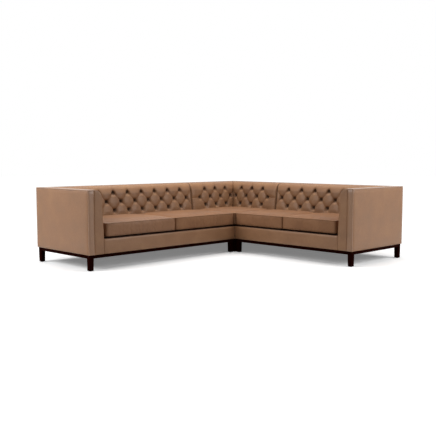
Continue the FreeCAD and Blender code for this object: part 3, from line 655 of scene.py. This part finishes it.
# %% [markdown]
# ## Seat cushions
#
# Each seat is a loose box cushion: a top panel and a bottom panel sewn to a band, over foam with a
# fibre wrap. The sewn edges stay put, and the wrap pushes the leather out between them, so the
# panels crown, the band bulges and small puckers run in from the seams. The shape starts as a cube
# that is cut into a grid and pushed into the cushion's form. Then cloth simulation blows it up a
# little, with its two seams pinned, and its movement is capped so that it stays clear of its
# neighbours.

# %% Cushion shape, in millimetres, with powers that keep the crowns flat and the corners full
CUSHION_CELL, CUSHION_CORNER, CUSHION_DRAW = 13.0, 28.0, 7.0
LOW_CROWN, TOP_CROWN, BOX_BULGE = 24.0, 20.0, 3.0
CROWN_POWER, CROWN_BLUNT, DRAW_POWER = 3.2, 0.75, 6


def cut_cube(size, cell):
    """A box of this size about the origin, cut into cells of about one size along each axis."""
    bm = bmesh.new()
    bmesh.ops.create_cube(bm, size=1.0)
    bmesh.ops.scale(bm, vec=size, verts=bm.verts)
    for axis in range(3):
        cuts = max(1, round(size[axis] / cell))
        ways = {e: (e.verts[1].co - e.verts[0].co).normalized() for e in bm.edges}
        along = [e for e, way in ways.items() if abs(way[axis]) > 0.99]
        bmesh.ops.subdivide_edges(bm, edges=along, cuts=cuts, use_grid_fill=True)
    return bm


def cushion_form(bm, size):
    """Pushes a cut cube into a boxed cushion's form, and returns which points lie on its seams."""
    half = np.array(size) / 2
    points = np.array([v.co for v in bm.verts])
    p = points / half
    over = np.maximum(0.0, np.abs(points[:, :2]) - (half[:2] - CUSHION_CORNER))
    longest = over.max(axis=1)
    length = np.hypot(over[:, 0], over[:, 1])
    scale = np.where(length > 0, longest / np.maximum(length, 1e-6), 1.0)
    inner = np.clip(points[:, :2], CUSHION_CORNER - half[:2], half[:2] - CUSHION_CORNER)
    plan = inner + (points[:, :2] - inner) * scale[:, None]
    seam_low, seam_top = -half[2] + LOW_CROWN, half[2] - TOP_CROWN
    crown = (1 - np.abs(p[:, 0]) ** CROWN_POWER) * (1 - np.abs(p[:, 1]) ** CROWN_POWER)
    crown = np.maximum(crown, 0.0) ** CROWN_BLUNT
    top, bottom = p[:, 2] > 0.999, p[:, 2] < -0.999
    z = np.where(top, seam_top + TOP_CROWN * crown, seam_low - LOW_CROWN * crown)
    side = ~(top | bottom)
    z = np.where(side, seam_low + (p[:, 2] + 1) / 2 * (seam_top - seam_low), z)
    bulge = np.where(side, BOX_BULGE * (1 - p[:, 2] ** 2), 0.0)
    for axis, other in ((0, 1), (1, 0)):
        draw = (CUSHION_DRAW - bulge) * (1 - p[:, other] ** 2)
        plan[:, axis] -= np.sign(p[:, axis]) * draw * np.abs(p[:, axis]) ** DRAW_POWER
    for v, (x, y), height in zip(bm.verts, plan, z):
        v.co = (x, y, height)
    on_seam = (np.abs(np.abs(p[:, 2]) - 1) < 0.001) & (np.abs(p[:, :2]).max(axis=1) > 0.999)
    return [int(i) for i in np.flatnonzero(on_seam)]


# %% [markdown]
# The simulation runs in metres on a trial copy, which is never handed over. After twenty frames its
# points are read back, the way that each one has moved is capped, and the Cloth modifier goes with
# the copy. SPARE is the share of leather that the cover has over its foam.

# %% Inflate a cushion
PRESSURE, SPARE = 4.0, 0.012
FRAMES = 20
MOST_MOVE = 0.007
NEIGHBOUR_GAP = 0.0006


def inflate(name, bm, pinned):
    """Runs cloth with the seams pinned, and returns the capped places of the bmesh's points."""
    mesh = bpy.data.meshes.new(name)
    bm.to_mesh(mesh)
    trial = placed(name, mesh)
    seams = trial.vertex_groups.new(name="seams")
    seams.add(pinned, 1.0, "REPLACE")
    modifier = trial.modifiers.new("inflate", "CLOTH")
    settings = modifier.settings
    settings.quality = 5
    settings.mass = 0.6
    settings.tension_stiffness = settings.compression_stiffness = 25.0
    settings.shear_stiffness = 12.0
    settings.bending_stiffness = 2.0
    settings.use_pressure = True
    settings.uniform_pressure_force = PRESSURE
    settings.shrink_min = -SPARE
    settings.vertex_group_mass = "seams"
    settings.effector_weights.gravity = 0.0
    modifier.collision_settings.use_collision = False
    modifier.point_cache.frame_start, modifier.point_cache.frame_end = 1, FRAMES
    for step in range(1, FRAMES + 1):
        bpy.context.scene.frame_set(step)
    settled = trial.evaluated_get(bpy.context.evaluated_depsgraph_get()).data
    before = np.array([v.co for v in mesh.vertices])
    after = np.array([v.co for v in settled.vertices])
    bpy.data.objects.remove(trial)
    bpy.context.scene.frame_set(1)
    moved = after - before
    far = np.linalg.norm(moved, axis=1, keepdims=True)
    return before + moved * np.minimum(1.0, MOST_MOVE / np.maximum(far, 1e-9))


def cushion_finish(node):
    """The leather of a cushion: the one in the long wing's outer seat is polished by use."""
    return used_seat_leather if node == "left_seat_cushion_outer" else seat_leather


def seat_cushion(node):
    """Makes a loose cushion, which is a body of its own. Returns the places of its seam points."""
    low, high = (np.array(corner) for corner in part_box(node))
    size = (high - low) * 1000
    bm = cut_cube(tuple(size), CUSHION_CELL)
    seam = cushion_form(bm, size)
    middle = (low + high) / 2
    matrix = Matrix.Translation(middle) @ Matrix.Scale(0.001, 4)
    bmesh.ops.transform(bm, matrix=matrix, verts=bm.verts)
    places = inflate(node + "_trial", bm, seam)
    for v, place in zip(bm.verts, np.clip(places, low + NEIGHBOUR_GAP, high - NEIGHBOUR_GAP)):
        v.co = place
    piece = hand_over(node + "_cover", bm, cushion_finish(node), node,
                      corner=60)
    # Painted shade along the cushion's two seams.
    painted_tone = np.zeros(len(piece.data.vertices))
    painted_tone[seam] = 0.5
    set_painted_light_and_shade(piece, painted_tone)
    smooth = piece.modifiers.new("smooth", "SUBSURF")
    smooth.levels = smooth.render_levels = 1
    return np.array([piece.data.vertices[i].co for i in seam])


# %% [markdown]
# A strip of the same leather is folded round a thin core and sewn into both seams of each cushion.
# It is one round wire that follows the pinned points of the seam, so it fits the cushion exactly.

# %% Welts, in metres
WELT_RADIUS, WELT_INSET = 0.0021, 0.0006


def wire_mesh(name, loops, radius, closed):
    """A thin round wire along each list of points, as a bmesh."""
    curve = bpy.data.curves.new(name, "CURVE")
    curve.dimensions = "3D"
    curve.bevel_depth = radius
    curve.bevel_resolution = 1
    curve.use_fill_caps = not closed
    for loop in loops:
        spline = curve.splines.new("POLY")
        spline.points.add(len(loop) - 1)
        spline.points.foreach_set("co", [c for point in loop for c in (*point, 1.0)])
        spline.use_cyclic_u = closed
    guide = bpy.data.objects.new(name, curve)
    mesh = bpy.data.meshes.new_from_object(guide)
    bm = bmesh.new()
    bm.from_mesh(mesh)
    bpy.data.objects.remove(guide)
    bpy.data.curves.remove(curve)
    bpy.data.meshes.remove(mesh)
    return bm


def welts(node, points):
    """Welts in the low and the top seam of a cushion, from the places of all its seam points."""
    centre = points.mean(axis=0)
    loops = []
    for half in (points[points[:, 2] < centre[2]], points[points[:, 2] >= centre[2]]):
        out = half[:, :2] - centre[:2]
        ring = half[np.argsort(np.arctan2(out[:, 1], out[:, 0]))]
        away = ring[:, :2] - centre[:2]
        ring[:, :2] -= WELT_INSET * away / np.linalg.norm(away, axis=1, keepdims=True)
        loops.append(ring)
    wires = wire_mesh(node + "_welts", loops, WELT_RADIUS, True)
    hand_over(node + "_welts", wires, cushion_finish(node), node)


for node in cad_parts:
    if "seat_cushion" in node:
        welts(node, seat_cushion(node))

# %% [markdown]
# ## Arms
#
# The inside of each arm is one smooth pad that rolls over its top edge. It swells behind the panel
# that closes its front. The pad is laid out with a along the arm and b from the deck up the side,
# round the roll and back to the outer border.

# %% Inside arms, in millimetres
ARM_TOP_FLAT = ARM_SHOULDER - ARM_ROLL - WALL
ARM_FRONT = DEPTH - 12.0
SWELL_PLACES = (0.0, 0.6, 0.8, 0.9, 0.96, 0.99, 1.0)
SWELL_SHARES = (1.0, 1.0, 0.95, 0.8, 0.55, 0.28, 0.0)
WAVE, WAVE_ALONG, WAVE_UP, WAVE_TOP = 1.2, 61.0, 47.0, 0.72
TOP_GAP = 0.3


def arm_section(b, swell):
    """The (u, z) of points at a share b of the way along the arm's section."""
    side = HEIGHT - ARM_ROLL - DECK
    turn = ARM_ROLL * math.pi / 2
    flat = ARM_TOP_FLAT + swell
    run = b * (side + turn + flat)
    angle = np.clip((run - side) / ARM_ROLL, 0.0, math.pi / 2)
    z = DECK + np.minimum(run, side) + ARM_ROLL * np.sin(angle)
    lean = (ARM_SHOULDER - ARM_FOOT) * np.clip(run / side, 0.0, 1.0)
    round_top = ARM_ROLL * np.cos(angle) - np.maximum(0.0, run - side - turn)
    return ARM_FOOT + swell + lean - ARM_ROLL + round_top, z


def inside_arm(side, matrix):
    """The pad on the inside of one arm, with slow waves below its roll where the leather gives."""

    def place(a, b):
        v = WALL + 1.0 + a * (ARM_FRONT - WALL - 1.0)
        u, z = arm_section(b, ARM_SWELL * np.interp(a, SWELL_PLACES, SWELL_SHARES))
        wave = WAVE * np.sin(v / WAVE_ALONG + 1.3 * np.sin(z / WAVE_UP)) * np.clip(b * 6, 0.0, 1.0)
        u = u + wave * (b < WAVE_TOP) * np.clip((1 - a) * 8, 0, 1)
        return np.stack([u, v, np.minimum(z, HEIGHT - TOP_GAP)], axis=1)

    bm = skin(82, 66, place)
    close_behind(bm, 0, WALL + 0.5, matrix)
    hand_over(side + "_inside_arm_pad", bm, band_leather, side + "_inside_arm")


for side, matrix, _ in ARM_MODULES:
    inside_arm(side, matrix)

# %% [markdown]
# ## Outside panels
#
# Backs, outer arms, front rails and the border band are thin foam under leather, pulled over the
# timber and turned in at the seams. Such a panel is never quite flat: it stands a few millimetres
# proud in its middle, and its edges roll back to the seam. Each panel starts as a cut cube of its
# own size, and its outer face is pushed into that form.

# %% Panels, in millimetres
PANEL_CELL, EDGE_ROLL, SWELL_REACH = 28.0, 3.0, 45.0
UNEVEN, UNEVEN_WIDTH = 0.35, 210.0
FULL, FIRM, SLIGHT, FLAT = 2.4, 2.0, 0.8, 0.4
COVER, BODY_BOTTOM = 12.0, 147.0
SHELL_TOP = HEIGHT - COVER
BACK, FRONT, OUTER, INNER, UP = (0, -1, 0), (0, 1, 0), (-1, 0, 0), (1, 0, 0), (0, 0, 1)


def padded_panel(matrix, low, high, out, proud):
    """One panel on its bench, from its two corners, with rolled edges and a proud outer face."""
    low, high = np.array(low, dtype=float), np.array(high, dtype=float)
    half = (high - low) / 2
    middle = Vector((low + high) / 2)
    panel = cut_cube(tuple(high - low), PANEL_CELL)
    bmesh.ops.bevel(
        panel, geom=[e for e in panel.edges if e.calc_face_angle(0) > 1.0], offset=EDGE_ROLL,
        segments=3, profile=0.5, affect="EDGES", material=-1,
    )
    axis, way = int(np.argmax(np.abs(out))), float(sum(out))
    flat = [i for i in range(3) if i != axis]
    for v in panel.verts:
        if v.co[axis] * way > 0.98 * half[axis]:
            reach = min(half[i] - abs(v.co[i]) for i in flat)
            rise = 1 - (1 - min(reach / SWELL_REACH, 1.0)) ** 3
            wave = noise.noise((v.co + middle) / UNEVEN_WIDTH)
            v.co[axis] += way * (proud + UNEVEN * proud * wave) * rise
    bmesh.ops.transform(panel, matrix=matrix @ Matrix.Translation(middle), verts=panel.verts)
    return panel


def joined(parts):
    """One bmesh out of several."""
    whole = bmesh.new()
    for bm in parts:
        spare = bpy.data.meshes.new("part")
        bm.to_mesh(spare)
        bm.free()
        whole.from_mesh(spare)
        bpy.data.meshes.remove(spare)
    return whole


def arm_module_panels(length):
    """The panels of an arm module: name, corners on the bench, outward direction, swell."""
    front, inner = DEPTH - COVER, length - COVER
    return {
        "outside_back": [((COVER, 0, BODY_BOTTOM), (length, COVER, SHELL_TOP), BACK, FULL)],
        "outside_arm": [((0, 0, BODY_BOTTOM), (COVER, front, SHELL_TOP), OUTER, FULL)],
        "front_rail_cover": [
            ((ARM_FOOT, front, BODY_BOTTOM), (length, DEPTH, DECK), FRONT, FIRM),
        ],
        "border_band": [
            ((0, 0, SHELL_TOP), (length, WALL, HEIGHT), UP, SLIGHT),
            ((0, WALL, SHELL_TOP), (WALL, DEPTH, HEIGHT), UP, SLIGHT),
            ((0, front, BODY_BOTTOM), (WALL, DEPTH, SHELL_TOP), FRONT, 1.5 * SLIGHT),
        ],
        "end_panel": [
            ((inner, COVER, BODY_BOTTOM), (length, front, DECK), INNER, FLAT),
            ((inner, COVER, DECK), (length, WALL, SHELL_TOP), INNER, FLAT),
        ],
    }


def corner_module_panels(side):
    """The panels of the corner module, in the same form. Both its sides are this long."""
    inner = side - COVER
    return {
        "outside_backs": [
            ((0, 0, BODY_BOTTOM), (side, COVER, SHELL_TOP), BACK, FULL),
            ((0, COVER, BODY_BOTTOM), (COVER, side, SHELL_TOP), OUTER, FULL),
        ],
        "border_band": [
            ((0, 0, SHELL_TOP), (side, WALL, HEIGHT), UP, SLIGHT),
            ((0, WALL, SHELL_TOP), (WALL, side, HEIGHT), UP, SLIGHT),
        ],
        "end_panels": [
            ((inner, COVER, BODY_BOTTOM), (side, side, DECK), INNER, FLAT),
            ((COVER, inner, BODY_BOTTOM), (inner, side, DECK), FRONT, FLAT),
            ((inner, COVER, DECK), (side, WALL, SHELL_TOP), INNER, FLAT),
            ((COVER, inner, DECK), (WALL, side, SHELL_TOP), FRONT, FLAT),
        ],
    }


# %% [markdown]
# The three modules are listed once, with the width that each has from back to front. The same list
# serves for their panels, their woodwork and their springs.

# %% Cover the three modules
MODULES = [(side, matrix, length, DEPTH) for side, matrix, length in ARM_MODULES]
MODULES.append(("corner", CORNER_BENCH, CORNER_LENGTH, CORNER_LENGTH))
for module, matrix, length, _ in MODULES:
    panels = corner_module_panels(length) if module == "corner" else arm_module_panels(length)
    for kind, pieces in panels.items():
        bm = joined([padded_panel(matrix, *piece) for piece in pieces])
        node = module + "_" + kind
        finish = band_leather if kind == "border_band" else shell_leather
        hand_over(node + "_leather", bm, finish, node, corner=60)

# %% [markdown]
# ## Arm fronts
#
# The inner part of each arm ends in a padded panel cut to the arm's outline: straight at its foot,
# leaning a little, and round at the shoulder. It is a grid squeezed into that outline, crowned in
# its middle and rolled at its edge.

# %% Arm facings, in millimetres
FACING_PROUD, FACING_REACH, FACING_ROLL, FACING_LEAST = 2.5, 30.0, 4.0, 12.0
SHOULDER = HEIGHT - ARM_ROLL


def arm_facing(side, matrix):
    """The padded front of one arm, as a grid with closer rows round its shoulder."""
    straight = np.linspace(BODY_BOTTOM, SHOULDER, 40)[:-1]
    curved = SHOULDER + ARM_ROLL * np.sin(np.linspace(0.0, math.pi / 2, 13))
    heights = np.concatenate([straight, curved])

    def place(a, b):
        z = np.interp(b, np.linspace(0, 1, len(heights)), heights)
        wide = np.maximum(arm_surface(z, 0.0) - WALL, FACING_LEAST)
        near = np.minimum(np.minimum(a, 1 - a) * wide, np.minimum(z - BODY_BOTTOM, HEIGHT - z))
        near = np.maximum(near, 0.0)
        rolled = FACING_ROLL * (1 - np.clip(near / FACING_ROLL, 0, 1)) ** 2
        proud = FACING_PROUD * (1 - (1 - np.clip(near / FACING_REACH, 0, 1)) ** 2)
        return np.stack([WALL + a * wide, DEPTH + proud - rolled, z], axis=1)

    bm = skin(26, len(heights) - 1, place)
    close_behind(bm, 1, DEPTH - COVER + 0.5, matrix)
    hand_over(side + "_arm_facing_pad", bm, shell_leather, side + "_arm_facing")


for side, matrix, _ in ARM_MODULES:
    arm_facing(side, matrix)

# %% [markdown]
# ## Legs and plinth
#
# The legs are square and taper to the floor, and their arrises are eased with sandpaper. A bevelled
# cube whose lower end is drawn in has the same form. The plinth rails are eased in the same way,
# and each one gets the finish whose grain runs along it.

# %% Woodwork, in millimetres
LEG_TOP, LEG_FOOT, LEG_HEIGHT, GLIDE = 46.0, 42.0, 115.0, 3.0
PLINTH_INSET, PLINTH_WIDTH = 10.0, 50.0
EASING = 1.5


def eased_block(matrix, low, high, foot=1.0):
    """A block with eased edges on a bench, whose lower end is narrowed to this share."""
    low, high = Vector(low), Vector(high)
    bm = bmesh.new()
    bmesh.ops.create_cube(bm, size=1.0)
    bmesh.ops.scale(bm, vec=high - low, verts=bm.verts)
    bmesh.ops.scale(bm, vec=(foot, foot, 1.0), verts=[v for v in bm.verts if v.co.z < 0])
    bmesh.ops.bevel(bm, geom=bm.edges[:], offset=EASING, segments=3, profile=0.5, affect="EDGES",
                    material=-1)
    bmesh.ops.transform(bm, matrix=matrix @ Matrix.Translation((low + high) / 2), verts=bm.verts)
    return bm


def legs(matrix, length, width):
    """The four tapered legs of a module."""
    near, far, foot = PLINTH_INSET, PLINTH_INSET + LEG_TOP, LEG_FOOT / LEG_TOP
    return joined([
        eased_block(matrix, (u, v, GLIDE), (u + LEG_TOP, v + LEG_TOP, LEG_HEIGHT), foot)
        for u in (near, length - far) for v in (near, width - far)
    ])


def rails(matrix, length, width):
    """The long rails and the short rails between them."""
    near, far = PLINTH_INSET, PLINTH_INSET + PLINTH_WIDTH
    along = [((near, v, LEG_HEIGHT), (length - near, v + PLINTH_WIDTH, BODY_BOTTOM))
             for v in (near, width - far)]
    across = [((u, far, LEG_HEIGHT), (u + PLINTH_WIDTH, width - far, BODY_BOTTOM))
              for u in (near, length - far)]
    return [joined([eased_block(matrix, *ends) for ends in pair]) for pair in (along, across)]


for module, matrix, length, width in MODULES:
    hand_over(module + "_wood_legs", legs(matrix, length, width), stained[2],
              module + "_legs", corner=30)
    long_grain = 1 if module == "right" else 0
    grains = (long_grain, 1 - long_grain)
    for name, bm, grain in zip(("long", "short"), rails(matrix, length, width), grains):
        hand_over(module + "_plinth_" + name, bm, stained[grain],
                  module + "_plinth_rails", corner=30)

# %% [markdown]
# ## Seat springs
#
# Under the deck, zigzag springs of 3.8 mm wire run from the rear rail to the front rail and are
# held by steel clips. Each spring is one wire drawn along its zigzag, with few sides, because it
# has dozens of bends and the deck hides most of them.

# %% Springs, in millimetres but for the wire's radius
WIRE = 0.0019
SPRING_RUN, SPRING_BEND, SPRING_SPACING = 22.0, 15.0, 140.0
BOARD, DECK_THICK = 32.0, 14.0
CLIP_SIZE = (16.0, 12.0, 8.0)
SPRING_LEVEL = DECK - DECK_THICK - CLIP_SIZE[2] / 2


def spring_line(matrix, u, rear, front):
    """The points of one zigzag spring: straight runs across, joined by half loops."""
    count = int((front - rear) // (2 * SPRING_BEND))
    step = (front - rear) / count
    points, side = [], 1
    for i in range(count + 1):
        v, half = rear + i * step, side * SPRING_RUN / 2
        points += [(u - half, v), (u + half, v)]
        if i < count:
            points += [
                (u + half + side * step / 2 * math.sin(turn), v + step / 2 * (1 - math.cos(turn)))
                for turn in np.linspace(0, math.pi, 6)[1:-1]
            ]
        side = -side
    return [matrix @ Vector((x, y, SPRING_LEVEL)) for x, y in points]


for module, matrix, length, width in MODULES:
    rear, front = WALL + BOARD / 2, width - COVER - BOARD / 2
    low, span = WALL + BOARD, length - COVER - 2 * BOARD - WALL
    count = int(span // SPRING_SPACING)
    middles = [low + (i + 0.5) * span / count for i in range(count)]
    name = module + "_zigzag_springs"
    wires = wire_mesh(name, [spring_line(matrix, u, rear, front) for u in middles], WIRE, False)
    half = Vector(CLIP_SIZE) / 2
    places = [Vector((u, v, SPRING_LEVEL)) for u in middles for v in (rear, front)]
    clips = joined([eased_block(matrix, place - half, place + half) for place in places])
    hand_over(name, joined([wires, clips]), spring_steel, module + "_seat_springs")
    print(name, count, "springs")

# %% [markdown]
# ## Floor, light and camera
#
# The sofa stands on a pale studio floor in front of a white background. Two large soft lights stand
# beside the outer arms, one soft light hangs over the seat and a weak one stands by the camera.
# The floor is matt, and it glows a little for the camera alone, so that it meets the background
# with no horizon and still holds the sofa's shadow.

# %% Floor
FLOOR_SIZE = 60.0
GLOW_START, GLOW_END = 1.6, 3.4
bm = bmesh.new()
bmesh.ops.create_grid(bm, x_segments=1, y_segments=1, size=FLOOR_SIZE / 2)
mesh = bpy.data.meshes.new("studio_floor")
bm.to_mesh(mesh)
bm.free()
floor = placed("studio_floor", mesh)


def backdrop_rays(tree):
    """1 for rays that may see the white backdrop: the camera's, and those off metal or glass."""
    path = add(tree, "LightPath")
    shiny = add(tree, "Math", {"operation": "MAXIMUM"},
                {0: path.outputs["Is Glossy Ray"], 1: path.outputs["Is Transmission Ray"]})
    return add(tree, "Math", {"operation": "MAXIMUM"},
               {0: path.outputs["Is Camera Ray"], 1: shiny.outputs[0]})


paint, tree, place = new_finish("matt white floor paint")
reach = add(tree, "VectorMath", {"operation": "LENGTH"}, {0: place})
far = add(tree, "MapRange", inputs={
    "Value": reach.outputs["Value"], "From Min": GLOW_START, "From Max": GLOW_END,
    "To Min": 0.2, "To Max": 1.0,
})
bounced = add(tree, "LightPath").outputs["Is Diffuse Ray"]
tone = add(tree, "Mix", {"data_type": "RGBA"}, {
    "Factor": bounced, "A": linear("#F8F8F8"), "B": linear("#B0B0B0"),
})
matt = add(tree, "BsdfDiffuse", inputs={"Color": tone.outputs["Result"]})
seen = backdrop_rays(tree)
amount = add(tree, "Math", {"operation": "MULTIPLY"},
             {0: seen.outputs[0], 1: far.outputs["Result"]})
glow = add(tree, "Emission", inputs={"Strength": amount.outputs[0]})
both = add(tree, "AddShader", inputs={0: matt.outputs[0], 1: glow.outputs[0]})
add(tree, "OutputMaterial", inputs={"Surface": both.outputs[0]})
floor.data.materials.append(paint)
print("floor", FLOOR_SIZE, "m")

# %% [markdown]
# The background is white to the camera and in reflections, and almost dark as a source of light, so
# that only the four lamps model the sofa.

# %% Background and lamps
world = bpy.data.worlds.new("studio")
bpy.context.scene.world = world
world.use_nodes = True
tree = world.node_tree
tree.nodes.clear()
soft, white = (
    add(tree, "Background", inputs={"Color": (1, 1, 1, 1), "Strength": strength})
    for strength in (0.08, 1.0)
)
share = add(tree, "MixShader", inputs={
    "Fac": backdrop_rays(tree).outputs[0], 1: soft.outputs[0], 2: white.outputs[0],
})
add(tree, "OutputWorld", inputs={"Surface": share.outputs[0]})


def lamp(name, place, aim, size, power, spread=180):
    """A square soft light at a place, turned to face another, with a grid that narrows its beam."""
    data = bpy.data.lights.new(name, "AREA")
    data.shape = "SQUARE"
    data.size = size
    data.energy = power
    data.spread = math.radians(spread)
    piece = placed(name, data)
    piece.location = place
    piece.rotation_euler = (Vector(aim) - Vector(place)).to_track_quat("-Z", "Y").to_euler()


lamp("left_side_light", (-3.3, 1.6, 2.1), (-1.4, 0.9, 0.62), 2.2, 24, 80)
lamp("right_side_light", (1.7, -3.4, 2.0), (0.9, -1.2, 0.6), 2.2, 50, 140)
lamp("overhead_light", (0.2, 0.2, 3.6), (0.2, 0.2, 0.4), 3.6, 105)
lamp("front_light", (-4.0, -4.0, 2.2), (0.2, 0.2, 0.4), 2.5, 5)

# %% [markdown]
# The camera stands a little above the seat backs and looks along the L's diagonal into the corner,
# from seven metres off the sofa's middle, so that both wings run away from it alike.

# %% Camera
LENS = 57.12
data = bpy.data.cameras.new("camera")
data.lens = LENS
data.sensor_width = 36.0
camera = placed("camera", data)
camera.location = (-4.951, -4.896, 1.025)
camera.rotation_euler = (math.radians(85.067), 0.0, math.radians(-44.908))
bpy.context.scene.camera = camera
bpy.context.scene.view_settings.view_transform = "Standard"
print("lens", LENS, "mm")
